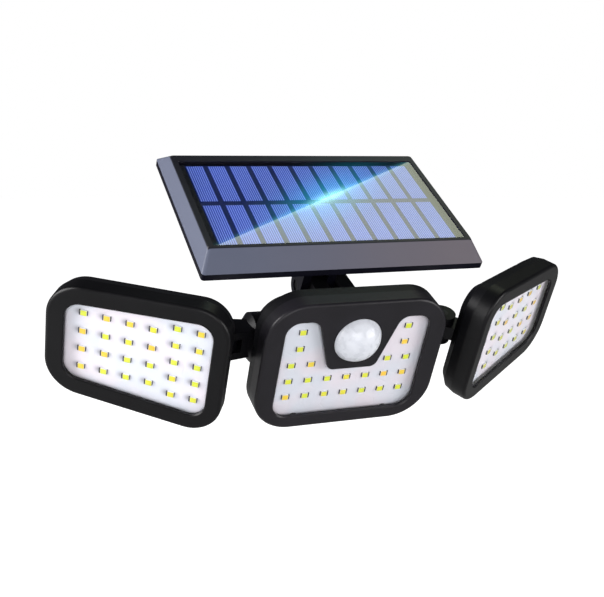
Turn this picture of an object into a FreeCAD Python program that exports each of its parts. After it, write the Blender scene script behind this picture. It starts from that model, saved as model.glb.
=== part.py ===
import FreeCAD, Part
import math
import os

from FreeCAD import Placement, Rotation, Vector

# Three-headed solar wall light with a motion sensor. Lengths are millimetres and angles degrees.
#
# Frames, each carried by the one before it:
#   row    origin in the middle of the bracket's wall face, +X to the viewer's right, +Y into the
#          wall and +Z up.
#   lamp   the centre head: origin in the plane of its emitters, +X right, +Y back, +Z up the head.
#   side   a side head: the same, with +X away from the centre head.
#   panel  the solar panel: origin in its top plane, above the middle of the cells, +Y to its back
#          edge and +Z out of the glass.

# Poses at rest
lamp_tilt = 25.35
panel_tilt_on_lamp = 6.9
side_yaw = 30.75

# Clearances
running_clearance = 0.08
moving_gap = 0.3
seat_gap = 0.3
smallest_radius = 0.3

# How far a cutting solid runs past the face that it cuts
overshoot = 1.0

# Walls, screws and bolts shared by the housings
wall = 2.2
lip_wall = 1.0
bolt_radius = 1.5
bolt_head_radius = 2.8
bolt_head_height = 2.2
nut_across_flats = 5.5
nut_height = 2.4
case_screw_radius = 1.1
case_screw_head_radius = 2.1
case_screw_head_height = 1.4
drive_recess_depth = 0.7
drive_recess_radius = 1.1
hexagon_recess = 1.8
bolt_end_inset = 0.6

# Emitters: a small white body with a yellow face
emitter_width = 3.5
emitter_height = 2.8
emitter_depth = 0.8
circuit_thickness = 1.6

# Case of every head, front to back along its own Y
bezel_front = -3.0
bezel_thickness = 2.0
front_edge_radius = 1.7
window_flange_back = -0.3
window_overlap = 1.0
window_lift = 1.0
window_side_gap = 0.3
opening_bevel = 0.5
seal_height = 1.0
seal_front = 1.9

# Centre head
center_half_width = 46.5
center_half_height = 35.4
center_corner_radius = 20.0
center_joint_depth = 5.0
center_rim_back = 10.5
center_shoulder_back = 22.0
center_back = 36.0
battery_box_half_width = 39.0
battery_box_bottom = -28.4
battery_box_top = 25.0
battery_box_low_radius = 10.0
battery_box_high_radius = 16.0
battery_box_draft = 2.5
roof_fall = 8.5
back_edge_radius = 3.0
center_emitter_pitch = 10.0
center_row_pitch = 9.27
center_lobe_emitter_x = 27.1

# Window of the centre head: a low band with a lobe up each side of the sensor
window_side_frame = 9.7
window_top_frame = 9.6
window_bottom_frame = 7.2
notch_rim = 4.6
notch_low_margin = 0.4
notch_high_margin = 9.2
window_low_corner_radius = 8.0
window_high_corner_radius = 7.0
lobe_inner_radius = 6.0
notch_corner_radius = 4.0

# Motion sensor
sensor_below_window_top = 11.4
dome_radius = 11.8
dome_height = 8.0
dome_wall = 0.9
dome_flange_width = 1.2
dome_flange_thickness = 0.7
sensor_can_radius = 4.6
sensor_can_height = 3.6
sensor_base_radius = 5.2
sensor_base_height = 0.5

# Battery, holder, control board, switch and button
cell_radius = 9.2
cell_cap_length = 1.5
cell_cap_radius = 3.1
holder_wall = 1.2
holder_end_gap = 0.6
holder_low_gap = 3.2
holder_side_rise = 11.0
board_side_inset = 10.0
board_above_holder = 2.7
board_below_roof = 1.5
board_corner_radius = 1.0
board_post_length = 6.2
board_post_radius = 2.0
board_post_inset = 2.8
button_board_inset = 11.0
button_below_roof = 8.5
button_radius = 4.5
button_proud = 2.2
button_bevel = 0.6
button_collar_width = 1.2
button_collar_thickness = 1.3
button_travel = 0.8
switch_half_width = 3.0
switch_plunger_length = 1.0
switch_plunger_radius = 1.5

# Case screws of the heads
center_screw_x = 24.0
side_screw_x = 20.0
screw_edge_distance = 3.8
screw_post_radius = 2.3
screw_post_roof = 1.0
screw_tip_gap = 0.5
screw_well_radius = 2.5
screw_well_wall = 1.0
screw_floor = 2.0

# Swivels between the centre head and the side heads
swivel_y = 23.0
side_axis_z = 1.6
boss_radius = 12.1
boss_reach = 3.5
boss_end_wall = 3.4
boss_pocket_radius = 9.0
boss_root_depth = 4.4
boss_room_depth = 6.6
flange_thickness = 4.2
flange_rim_thickness = 0.8
flange_face_radius = 8.0
journal_radius = 5.0
washer_radius = 6.6
washer_thickness = 1.4

# Hinges between the knuckles and the side heads
side_hinge_reach = 15.5
side_hinge_y = 20.0
side_hinge_radius = 6.8
side_hinge_lift = 1.65
knuckle_half_height = 7.65
tongue_half_height = 3.5
tongue_root_inset = 1.0
tongue_root_reach = 4.0
knuckle_root_front = 15.7
knuckle_root_back = 24.3
slot_clearance = 0.8

# Side heads
side_head_reach = 40.1
side_head_y = 16.0
side_inner_length = 40.8
side_outer_length = 43.8
side_inner_half_height = 34.2
side_outer_half_height = 28.0
side_inner_corner_radius = 15.5
side_outer_corner_radius = 17.5
side_joint_depth = 5.0
side_rim_back = 10.0
side_back = 14.0
side_draft = 1.2
side_back_inset = 5.5
side_outer_frame = 8.9
side_inner_frame = 7.6
side_inner_long_frame = 8.7
side_outer_long_frame = 8.3
side_window_inner_corner_radius = 7.5
side_window_outer_corner_radius = 8.0
side_column_pitch = 10.81
side_column_count = 6
side_long_columns = 2
side_long_count = 5
side_long_pitch = 9.11
side_short_count = 4
side_short_pitch = 9.73

# Hinge under the solar panel: two ears of the panel between and beside two lugs of the lamp
panel_hinge_reach = 12.0
panel_hinge_z = 13.5
panel_hinge_radius = 6.2
panel_hinge_half_width = 13.0
panel_lug_root = 6.0
panel_ear_thickness = 4.4
panel_inner_ear_x = 0.2
ear_base_front = -26.0
ear_base_back = 14.0

# Solar panel
panel_behind_hinge = 13.8
panel_above_hinge = 39.7
skirt_half_width = 72.4
skirt_front = -44.6
skirt_back = 51.6
side_slope = 4.4
front_slope = 10.0
back_slope = 9.0
skirt_depth = 7.5
panel_depth = 10.7
panel_corner_radius = 1.6
panel_wall = 2.0
rim_side_width = 2.7
rim_front_width = 1.8
rim_back_width = 5.0
glass_corner_radius = 1.0
glass_gap = 0.1
glass_recess = 0.4
glass_thickness = 1.4
tile_thickness = 0.2
tile_columns = 11
tile_side_border = 4.62
tile_front_border = 0.32
tile_back_border = 5.12
tile_gap = 2.61
tile_row_gap = 4.56
ledge_width = 2.4
room_relief = 0.8
panel_screw_side_inset = 10.4
panel_screw_inset = 12.0

# Wall bracket
bracket_pivot_gap = 1.0
bracket_pivot_z = -19.0
bracket_lug_radius = 6.5
bracket_lug_half_width = 6.0
bracket_ear_thickness = 4.0
wall_distance = 88.0
plate_thickness = 4.0
plate_half_width = 16.0
plate_half_height = 28.0
plate_center_drop = 22.0
plate_corner_radius = 8.0
plate_edge_radius = 1.2
wall_hole_radius = 2.25
wall_hole_edge_distance = 6.0
wall_hole_head_radius = 4.6
wall_hole_head_depth = 1.6
arm_root_half_height = 11.0
arm_web_length = 12.0


# Planes: each turns two drawing coordinates into a point

def front(depth):
    return lambda across, up: Vector(across, depth, up)


def flat(height):
    return lambda across, along: Vector(across, along, height)


class Outline:
    """A closed outline, counter-clockwise, with a radius at each corner."""

    def __init__(self, points, radii):
        self.points = [Vector(a, b, 0) for a, b in points]
        self.radii = radii

    def sides(self, index):
        """Unit directions of the sides that end and start at a corner."""
        before = self.points[index] - self.points[index - 1]
        after = self.points[(index + 1) % len(self.points)] - self.points[index]
        return before.normalize(), after.normalize()

    def grow(self, distance):
        """Every side moved outward by the distance, with its arcs kept concentric."""
        points = []
        radii = []
        for index, (point, radius) in enumerate(zip(self.points, self.radii)):
            before, after = self.sides(index)
            normals = Vector(before.y + after.y, -before.x - after.x, 0)
            moved = point + normals * (distance / (1 + before.dot(after)))
            turn = before.x * after.y - before.y * after.x
            points.append((moved.x, moved.y))
            kept = radius + distance if turn > 0 else radius - distance
            radii.append(max(kept, smallest_radius))
        return Outline(points, radii)

    def wire(self, lift):
        """The outline as a wire of lines and tangent arcs, on the plane that lift draws on."""
        arcs = []
        for index, (corner, radius) in enumerate(zip(self.points, self.radii)):
            before, after = self.sides(index)
            half_turn = before.getAngle(after) / 2
            setback = radius * math.tan(half_turn)
            inward = (after - before).normalize()
            apex = corner + inward * (radius / math.cos(half_turn) - radius)
            arcs.append([corner - before * setback, apex, corner + after * setback])
        edges = []
        for index, arc in enumerate(arcs):
            start, apex, end = [lift(point.x, point.y) for point in arc]
            following = arcs[(index + 1) % len(arcs)][0]
            edges.append(Part.Arc(start, apex, end).toShape())
            edges.append(Part.makeLine(end, lift(following.x, following.y)))
        return Part.Wire(edges)

    def prism(self, plane, start, end):
        """The outline as a straight solid between two depths of a plane."""
        sweep = plane(end)(0, 0) - plane(start)(0, 0)
        return Part.Face(self.wire(plane(start))).extrude(sweep)


def rectangle(low, high, radius):
    """An upright rectangle between two corner points, with one radius."""
    points = [low, (high[0], low[1]), high, (low[0], high[1])]
    return Outline(points, [radius] * len(points))


def loft(plane, sections):
    """A solid with straight flanks through (outline, depth) sections."""
    return Part.makeLoft([outline.wire(plane(depth)) for outline, depth in sections], True, True)


def rod(radius, start, end):
    """A round bar between two points."""
    return Part.makeCylinder(radius, (end - start).Length, start, end - start)


def hexagon_bar(across_flats, start, end):
    """A six-sided bar between two points on a line along X or Z."""
    sweep = end - start
    turned = Rotation(Vector(0, 0, 1), sweep)
    reach = across_flats / math.sqrt(3)
    corners = []
    for step in range(7):
        angle = math.radians(60 * step)
        corner = Vector(reach * math.cos(angle), reach * math.sin(angle), 0)
        corners.append(start + turned.multVec(corner))
    return Part.Face(Part.makePolygon(corners)).extrude(sweep)


def fuse(first, *others):
    return first.multiFuse(list(others)).removeSplitter()


def cut(shape, *tools):
    return shape.cut(Part.makeCompound(list(tools)))


def edges_at(shape, axis, value):
    """The edges that lie wholly at one value of X, Y or Z."""
    found = []
    for edge in shape.Edges:
        box = edge.BoundBox
        low, high = getattr(box, axis + "Min"), getattr(box, axis + "Max")
        if abs(low - value) < 1e-4 and abs(high - value) < 1e-4:
            found.append(edge)
    return found


def mirrored(shape):
    return shape.mirror(Vector(0, 0, 0), Vector(1, 0, 0))


# Sizes and places that follow from those above

bezel_inner = bezel_front + bezel_thickness
emitter_back = emitter_depth
circuit_back = emitter_back + circuit_thickness
window_face = bezel_inner - window_lift
screw_tip = bezel_inner + screw_post_roof + screw_tip_gap

window_half_width = center_half_width - window_side_frame
window_top = center_half_height - window_top_frame
window_bottom = window_bottom_frame - center_half_height
sensor_z = window_top - sensor_below_window_top

inner_back = center_back - wall
tail_top = battery_box_top - roof_fall
cell_length = 2 * (battery_box_half_width - battery_box_draft - wall - holder_wall
                   - holder_end_gap)
cell_z = (battery_box_bottom + battery_box_draft + wall + holder_low_gap + holder_wall
          + cell_radius)
board_half_width = battery_box_half_width - board_side_inset
board_low = cell_z + cell_radius + holder_wall + board_above_holder
board_high = tail_top - board_below_roof
board_back = inner_back - board_post_length
button_x = button_board_inset - board_half_width
button_z = tail_top - button_below_roof

boss_face_x = battery_box_half_width + boss_reach
journal_end = boss_face_x - boss_end_wall - moving_gap
flange_start = boss_face_x + moving_gap
arm_start = flange_start + flange_thickness
side_hinge_x = boss_face_x + side_hinge_reach
side_hinge_z = side_axis_z + side_hinge_lift
side_head_x = side_hinge_x + side_head_reach

rim_half_width = skirt_half_width - side_slope
rim_front = skirt_front + front_slope
rim_back = skirt_back - back_slope
glass_half_width = rim_half_width - rim_side_width
glass_front = rim_front + rim_front_width
glass_back = rim_back - rim_back_width
tile_top = -glass_recess - glass_thickness
board_top = tile_top - tile_thickness
panel_hinge_y = center_back + panel_hinge_reach

bracket_pivot_y = center_back + bracket_lug_radius + bracket_pivot_gap
fork_outer = bracket_lug_half_width + moving_gap + bracket_ear_thickness

# Placements of the frames

lamp_rotation = Rotation(Vector(1, 0, 0), lamp_tilt)
pivot_on_row = lamp_rotation.multVec(Vector(0, bracket_pivot_y, bracket_pivot_z))
bracket_reach = wall_distance - pivot_on_row.y
bracket_rise = pivot_on_row.z + plate_center_drop
lamp_frame = Placement(Vector(0, -wall_distance, plate_center_drop), lamp_rotation)
side_frame = Placement(
    Vector(side_head_x, side_head_y, side_axis_z), Rotation(Vector(0, 0, 1), side_yaw))
panel_frame = Placement(
    Vector(0, panel_hinge_y + panel_behind_hinge, panel_hinge_z + panel_above_hinge),
    Rotation(Vector(1, 0, 0), panel_tilt_on_lamp))
hinge_on_panel = panel_frame.inverse().multVec(Vector(0, panel_hinge_y, panel_hinge_z))
hinge_on_side = side_frame.inverse().multVec(Vector(side_hinge_x, side_hinge_y, side_hinge_z))


def placed(shape, placement):
    moved = shape.copy()
    moved.Placement = placement.multiply(moved.Placement)
    return moved


def save(name, shape):
    shape.exportStep("parts/" + name + ".step")


# Outlines

def center_outline():
    corner = (center_half_width, center_half_height)
    return rectangle((-corner[0], -corner[1]), corner, center_corner_radius)


def battery_box_outline(draft, fall):
    """The battery box, with its sides and floor drawn in and its roof lowered."""
    half_width = battery_box_half_width - draft
    low = battery_box_bottom + draft
    high = battery_box_top - fall
    low_radius = battery_box_low_radius - draft
    return Outline([(-half_width, low), (half_width, low), (half_width, high), (-half_width, high)],
                   [low_radius, low_radius, battery_box_high_radius, battery_box_high_radius])


def center_window_outline():
    """The opening of the centre head, drawn round the notch that holds the sensor."""
    right = [
        (window_half_width, window_bottom, window_low_corner_radius),
        (window_half_width, window_top, window_high_corner_radius),
        (dome_radius + notch_high_margin, window_top, lobe_inner_radius),
        (dome_radius + notch_low_margin, sensor_z - dome_radius - notch_rim, notch_corner_radius),
    ]
    left = [(-across, up, radius) for across, up, radius in reversed(right)]
    corners = right + left
    return Outline([corner[:2] for corner in corners], [corner[2] for corner in corners])


def side_shape(inner_x, outer_x, inner_half, outer_half, inner_radius, outer_radius):
    """The tapered outline of a side head, taller at the end by its hinge."""
    points = [(inner_x, -inner_half), (outer_x, -outer_half),
              (outer_x, outer_half), (inner_x, inner_half)]
    return Outline(points, [inner_radius, outer_radius, outer_radius, inner_radius])


def side_outline():
    return side_shape(-side_inner_length, side_outer_length, side_inner_half_height,
                      side_outer_half_height, side_inner_corner_radius, side_outer_corner_radius)


def side_window_outline():
    return side_shape(side_inner_frame - side_inner_length, side_outer_length - side_outer_frame,
                      side_inner_half_height - side_inner_long_frame,
                      side_outer_half_height - side_outer_long_frame,
                      side_window_inner_corner_radius, side_window_outer_corner_radius)


# Where things repeat

def center_emitter_places():
    """Two full rows, a row broken by the sensor, and two emitters up each lobe."""
    places = []
    for row in (-1, -2):
        places += [(step * center_emitter_pitch, row * center_row_pitch) for step in range(-3, 4)]
    places += [(step * center_emitter_pitch, 0) for step in (-3, -2, 2, 3)]
    for row in (1, 2):
        places += [(sign * center_lobe_emitter_x, row * center_row_pitch) for sign in (-1, 1)]
    return places


def side_emitter_places():
    """Six columns, of which those next to the hinge hold one emitter more."""
    places = []
    for column in range(side_column_count):
        long_column = column < side_long_columns
        count = side_long_count if long_column else side_short_count
        pitch = side_long_pitch if long_column else side_short_pitch
        across = (column - (side_column_count - 1) / 2) * side_column_pitch
        places += [(across, (row - (count - 1) / 2) * pitch) for row in range(count)]
    return places


def center_screw_places():
    up = center_half_height - screw_edge_distance
    return [(x, z) for x in (-center_screw_x, center_screw_x) for z in (-up, up)]


def side_screw_places():
    """Screw places that keep their distance from the sloping long sides."""
    length = side_inner_length + side_outer_length
    slope = (side_outer_half_height - side_inner_half_height) / length
    places = []
    for x in (-side_screw_x, side_screw_x):
        up = side_inner_half_height + slope * (x + side_inner_length) - screw_edge_distance
        places += [(x, -up), (x, up)]
    return places


# Pieces that every head has

def bezel(outline, window, screw_places, joint_depth):
    """A moulded front frame: rounded front edge, bevelled opening, skirt and screw posts."""
    body = outline.prism(front, bezel_front, joint_depth)
    edges = edges_at(body, "Y", bezel_front)
    body = body.makeFillet(front_edge_radius, edges)
    hollow = outline.grow(-wall).prism(front, bezel_inner, joint_depth)
    seat = outline.grow(-(wall - lip_wall)).prism(front, seal_front, joint_depth)
    opening = window.prism(front, bezel_front, bezel_inner)
    bevel = loft(front, [(window.grow(opening_bevel), bezel_front),
                         (window, bezel_front + opening_bevel)])
    body = cut(body, hollow, seat, opening, bevel)
    posts = []
    for x, z in screw_places:
        post = rod(screw_post_radius, Vector(x, bezel_inner, z), Vector(x, joint_depth, z))
        posts.append(post.common(hollow))
    body = fuse(body, *posts)
    holes = []
    for x, z in screw_places:
        holes.append(rod(case_screw_radius, Vector(x, bezel_inner + screw_post_roof, z),
                         Vector(x, joint_depth, z)))
    return cut(body, *holes)


def window_pane(window):
    """A clear pane: a flange behind the frame and a raised face inside the opening."""
    flange = window.grow(window_overlap).prism(front, bezel_inner, window_flange_back)
    face = loft(front, [(window.grow(-window_side_gap - window_lift / 2), window_face),
                        (window.grow(-window_side_gap), bezel_inner)])
    return fuse(flange, face)


def seal_ring(outline, joint_depth):
    """A square cord between the frame's ledge and the shell's lip."""
    outer = outline.grow(-(wall - lip_wall)).prism(front, seal_front, seal_front + seal_height)
    inner = outline.grow(-wall).prism(front, seal_front, seal_front + seal_height)
    return cut(outer, inner)


def emitters(places):
    """The emitters of one head, one solid each."""
    blocks = []
    for x, z in places:
        block = Part.makeBox(emitter_width, emitter_depth, emitter_height,
                             Vector(x - emitter_width / 2, 0, z - emitter_height / 2))
        blocks.append(block)
    return Part.makeCompound(blocks)


def case_screws(places, floor_back):
    """Self-tapping screws from the back, one solid each."""
    screws = []
    for x, z in places:
        head_back = floor_back + case_screw_head_height
        head = rod(case_screw_head_radius, Vector(x, floor_back, z), Vector(x, head_back, z))
        shank = rod(case_screw_radius, Vector(x, screw_tip, z), Vector(x, floor_back, z))
        recess = rod(drive_recess_radius, Vector(x, head_back - drive_recess_depth, z),
                     Vector(x, head_back, z))
        screws.append(cut(fuse(head, shank), recess))
    return Part.makeCompound(screws)


def lip(outline, joint_depth):
    """The shell's thin lip, which enters the frame's skirt and presses the seal."""
    start = seal_front + seal_height
    outer = outline.grow(-(wall - lip_wall) - running_clearance).prism(front, start, joint_depth)
    inner = outline.grow(-wall).prism(front, start, joint_depth)
    return cut(outer, inner)


# Centre head

def rear_housing():
    """The deep moulded back: rim, shoulder, battery box, swivel bosses and hinge lugs."""
    rim = center_outline()
    box = battery_box_outline(0, 0)
    tail = battery_box_outline(battery_box_draft, roof_fall)
    shoulder = [(rim, center_joint_depth), (rim, center_rim_back), (box, center_shoulder_back)]
    shell = loft(front, shoulder + [(tail, center_back)])
    shell = shell.makeFillet(back_edge_radius, edges_at(shell, "Y", center_back))
    shoulder_inner = center_shoulder_back - wall / 2
    hollow = loft(front, [(rim.grow(-wall), center_joint_depth),
                          (rim.grow(-wall), center_rim_back),
                          (box.grow(-wall), shoulder_inner), (tail.grow(-wall), inner_back)])

    bosses = []
    pockets = []
    for sign in (-1, 1):
        axis_at = lambda x: Vector(sign * x, swivel_y, side_axis_z)
        bosses.append(rod(boss_radius, axis_at(battery_box_half_width - boss_root_depth),
                          axis_at(boss_face_x)))
        pockets.append(rod(boss_pocket_radius, axis_at(battery_box_half_width - boss_room_depth),
                           axis_at(boss_face_x - boss_end_wall)))
        pockets.append(rod(journal_radius + running_clearance,
                           axis_at(battery_box_half_width - boss_room_depth),
                           axis_at(boss_face_x)))
        pockets.append(rod(boss_radius + moving_gap, axis_at(boss_face_x),
                           axis_at(center_half_width + overshoot)))

    posts = []
    for x in (-board_half_width + board_post_inset, board_half_width - board_post_inset):
        for z in (board_low + board_post_inset, board_high - board_post_inset):
            posts.append(rod(board_post_radius, Vector(x, board_back, z),
                             Vector(x, inner_back + wall / 2, z)))

    wells = []
    screw_columns = []
    for x, z in center_screw_places():
        start = Vector(x, center_rim_back, z)
        wells.append(rod(screw_well_radius, start, Vector(x, center_back + overshoot, z)))
        wells.append(rod(case_screw_radius + running_clearance,
                         Vector(x, center_joint_depth, z), start))
        screw_columns.append(rod(screw_well_radius + screw_well_wall,
                                 Vector(x, center_joint_depth, z),
                                 Vector(x, center_shoulder_back, z)))
    columns = Part.makeCompound(screw_columns).common(loft(front, shoulder))

    button_hole = rod(button_radius + running_clearance,
                      Vector(button_x, inner_back - overshoot, button_z),
                      Vector(button_x, center_back + button_proud + moving_gap, button_z))

    body = cut(fuse(shell, *panel_lugs()), hollow)
    body = fuse(body, lip(rim, center_joint_depth), columns, *bosses, *posts, bracket_lug())
    return cut(body, button_hole, *pockets, *wells)


def panel_lugs():
    """Flat-topped lugs that carry the panel's hinge bolt, with a bore along X."""
    inner = panel_inner_ear_x
    outer = panel_hinge_half_width
    spans = [(-outer + panel_ear_thickness + moving_gap, inner - moving_gap),
             (inner + panel_ear_thickness + moving_gap, outer)]
    lugs = []
    root = center_back - panel_lug_root
    hinge_at = lambda x: Vector(x, panel_hinge_y, panel_hinge_z)
    for low, high in spans:
        bar = rod(panel_hinge_radius, hinge_at(low), hinge_at(high))
        block = Part.makeBox(high - low, panel_hinge_y - root, 2 * panel_hinge_radius,
                             Vector(low, root, panel_hinge_z - panel_hinge_radius))
        bore = rod(bolt_radius + running_clearance, hinge_at(low - overshoot),
                   hinge_at(high + overshoot))
        lugs.append(cut(fuse(bar, block), bore))
    head_seat = rod(bolt_head_radius + moving_gap, hinge_at(outer - bolt_head_height - moving_gap),
                    hinge_at(outer + overshoot))
    lugs[-1] = cut(lugs[-1], head_seat)
    return lugs


def bracket_lug():
    """The tongue on the housing that turns in the wall bracket's fork."""
    half = bracket_lug_half_width
    root = inner_back
    bar = rod(bracket_lug_radius, Vector(-half, bracket_pivot_y, bracket_pivot_z),
              Vector(half, bracket_pivot_y, bracket_pivot_z))
    block = Part.makeBox(2 * half, bracket_pivot_y - root, 2 * bracket_lug_radius,
                         Vector(-half, root, bracket_pivot_z - bracket_lug_radius))
    bore = rod(bolt_radius + running_clearance,
               Vector(-half - overshoot, bracket_pivot_y, bracket_pivot_z),
               Vector(half + overshoot, bracket_pivot_y, bracket_pivot_z))
    return cut(fuse(bar, block), bore)


def center_bezel():
    """The centre frame, with a round opening for the sensor's dome."""
    body = bezel(center_outline(), center_window_outline(), center_screw_places(),
                 center_joint_depth)
    opening = rod(dome_radius + running_clearance, Vector(0, bezel_front - overshoot, sensor_z),
                  Vector(0, bezel_inner + overshoot, sensor_z))
    return cut(body, opening)


def center_board():
    """The white circuit board behind the window."""
    edge = center_outline().grow(-wall - seat_gap)
    board = edge.prism(front, emitter_back, circuit_back)
    notches = [rod(screw_post_radius + seat_gap, Vector(x, emitter_back - overshoot, z),
                   Vector(x, circuit_back + overshoot, z)) for x, z in center_screw_places()]
    return cut(board, *notches)


def sensor_dome():
    """The milky lens: a cap of a sphere on a short collar, with a flange behind the frame."""
    rise = dome_height
    sphere_radius = (dome_radius ** 2 + rise ** 2) / (2 * rise)
    middle = Vector(0, bezel_front - rise + sphere_radius, sensor_z)
    ahead = Vector(0, bezel_front - 2 * rise, sensor_z)
    base = Vector(0, bezel_front, sensor_z)
    inner_base = Vector(0, bezel_inner, sensor_z)
    cap = Part.makeSphere(sphere_radius, middle).common(rod(dome_radius, ahead, base))
    collar = rod(dome_radius, base, inner_base)
    flange = rod(dome_radius + dome_flange_width, inner_base,
                 inner_base + Vector(0, dome_flange_thickness, 0))
    solid = fuse(cap, collar, flange)
    room = Part.makeSphere(sphere_radius - dome_wall, middle).common(
        rod(dome_radius - dome_wall, ahead, base))
    throat = rod(dome_radius - dome_wall, base, inner_base + Vector(0, dome_flange_thickness, 0))
    return cut(solid, fuse(room, throat))


def motion_sensor():
    """The sensor can with its base rim, on the board under the dome."""
    base = Vector(0, emitter_back, sensor_z)
    rim = rod(sensor_base_radius, base - Vector(0, sensor_base_height, 0), base)
    can = rod(sensor_can_radius, base - Vector(0, sensor_can_height, 0), base)
    return fuse(rim, can)


def battery_cell():
    """A round cell with its raised positive end."""
    middle_y = inner_back - holder_wall - cell_radius
    start = Vector(-cell_length / 2, middle_y, cell_z)
    end = Vector(cell_length / 2, middle_y, cell_z)
    shoulder = end - Vector(cell_cap_length, 0, 0)
    return fuse(rod(cell_radius, start, shoulder), rod(cell_cap_radius, shoulder, end))


def battery_holder():
    """An open cradle: a floor, two side walls and two ends round the cell."""
    half_length = cell_length / 2 + holder_wall
    half_width = cell_radius + holder_wall
    floor_y = inner_back - holder_wall
    outer = Part.makeBox(2 * half_length, holder_side_rise + holder_wall, 2 * half_width,
                         Vector(-half_length, floor_y - holder_side_rise, cell_z - half_width))
    room = Part.makeBox(cell_length, holder_side_rise, 2 * cell_radius,
                        Vector(-cell_length / 2, floor_y - holder_side_rise, cell_z - cell_radius))
    return cut(outer, room)


def control_board():
    """The board that charges the cell and reads the sensor, on posts of the housing."""
    plate = rectangle((-board_half_width, board_low), (board_half_width, board_high),
                      board_corner_radius)
    return plate.prism(front, board_back - circuit_thickness, board_back)


def power_switch():
    """The push switch on the control board's back, under the button."""
    top = inner_back - moving_gap - button_collar_thickness - button_travel - moving_gap
    half = switch_half_width
    block = Part.makeBox(2 * half, top - switch_plunger_length - board_back, 2 * half,
                         Vector(button_x - half, board_back, button_z - half))
    plunger = rod(switch_plunger_radius, Vector(button_x, board_back, button_z),
                  Vector(button_x, top, button_z))
    return fuse(block, plunger)


def power_button():
    """A push button with a bevelled face and a collar that keeps it in the wall."""
    inner = inner_back - moving_gap
    end = Vector(button_x, center_back + button_proud, button_z)
    stem = rod(button_radius, Vector(button_x, inner, button_z), end)
    stem = stem.makeChamfer(button_bevel, edges_at(stem, "Y", end.y))
    collar = rod(button_radius + button_collar_width,
                 Vector(button_x, inner - button_collar_thickness, button_z),
                 Vector(button_x, inner, button_z))
    return fuse(stem, collar)


# Swivels and side hinges, drawn on the right side of the lamp

def side_hinge_at(height):
    """A point on the side hinge's axis, at a height over the middle of the fork."""
    return Vector(side_hinge_x, side_hinge_y, side_hinge_z + height)


def knuckle():
    """The moulded joint: journal, coned flange, arm and a fork for the side head's tongue."""
    axis_at = lambda x: Vector(x, swivel_y, side_axis_z)
    cone_start = flange_start + flange_rim_thickness
    rim = rod(boss_radius, axis_at(flange_start), axis_at(cone_start))
    cone = Part.makeCone(boss_radius, flange_face_radius, arm_start - cone_start,
                         axis_at(cone_start), Vector(1, 0, 0))
    journal = rod(journal_radius, axis_at(journal_end), axis_at(flange_start))

    top = knuckle_half_height
    round_end = rod(side_hinge_radius, side_hinge_at(-top), side_hinge_at(top))
    floor = side_hinge_z - top
    profile = Part.makePolygon([
        Vector(flange_start, knuckle_root_front, floor),
        Vector(side_hinge_x, side_hinge_y - side_hinge_radius, floor),
        Vector(side_hinge_x, side_hinge_y + side_hinge_radius, floor),
        Vector(flange_start, knuckle_root_back, floor),
        Vector(flange_start, knuckle_root_front, floor)])
    arm = Part.Face(profile).extrude(Vector(0, 0, 2 * top))
    body = fuse(rim, cone, journal, round_end, arm)

    slot_x = side_hinge_x - side_hinge_radius - slot_clearance
    slot_half = tongue_half_height + moving_gap
    slot = Part.makeBox(4 * side_hinge_radius, 6 * side_hinge_radius, 2 * slot_half,
                        Vector(slot_x, side_hinge_y - 3 * side_hinge_radius,
                               side_hinge_z - slot_half))
    bore = rod(bolt_radius, side_hinge_at(-top), side_hinge_at(top))
    head_seat = rod(bolt_head_radius, side_hinge_at(top - bolt_head_height), side_hinge_at(top))
    nut_seat = hexagon_bar(nut_across_flats, side_hinge_at(-top), side_hinge_at(nut_height - top))
    screw_hole = rod(case_screw_radius, axis_at(journal_end), axis_at(flange_start))
    return cut(body, slot, bore, head_seat, nut_seat, screw_hole)


def swivel_retainer():
    """Washer and screw on the journal's end, inside the centre head."""
    axis_at = lambda x: Vector(x, swivel_y, side_axis_z)
    washer_start = journal_end - washer_thickness
    washer = rod(washer_radius, axis_at(washer_start), axis_at(journal_end))
    head = rod(case_screw_head_radius, axis_at(washer_start - case_screw_head_height),
               axis_at(washer_start))
    shank = rod(case_screw_radius, axis_at(journal_end), axis_at(flange_start))
    return fuse(washer, head, shank)


def bolt(start, end):
    """A bolt whose round head ends at start, with a hexagonal recess, and whose shank ends at end."""
    along = (end - start).normalize()
    head = rod(bolt_head_radius, start, start + along * bolt_head_height)
    shank = rod(bolt_radius, start + along * bolt_head_height, end)
    recess = hexagon_bar(hexagon_recess, start, start + along * bolt_head_height / 2)
    return cut(fuse(head, shank), recess)


def nut(start, end):
    """A hexagonal nut between two points on its bolt."""
    return cut(hexagon_bar(nut_across_flats, start, end), rod(bolt_radius, start, end))


def side_hinge_bolt():
    return bolt(side_hinge_at(knuckle_half_height), side_hinge_at(-knuckle_half_height))


def side_hinge_nut():
    return nut(side_hinge_at(-knuckle_half_height), side_hinge_at(nut_height - knuckle_half_height))


# Side heads, drawn in their own frame

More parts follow.
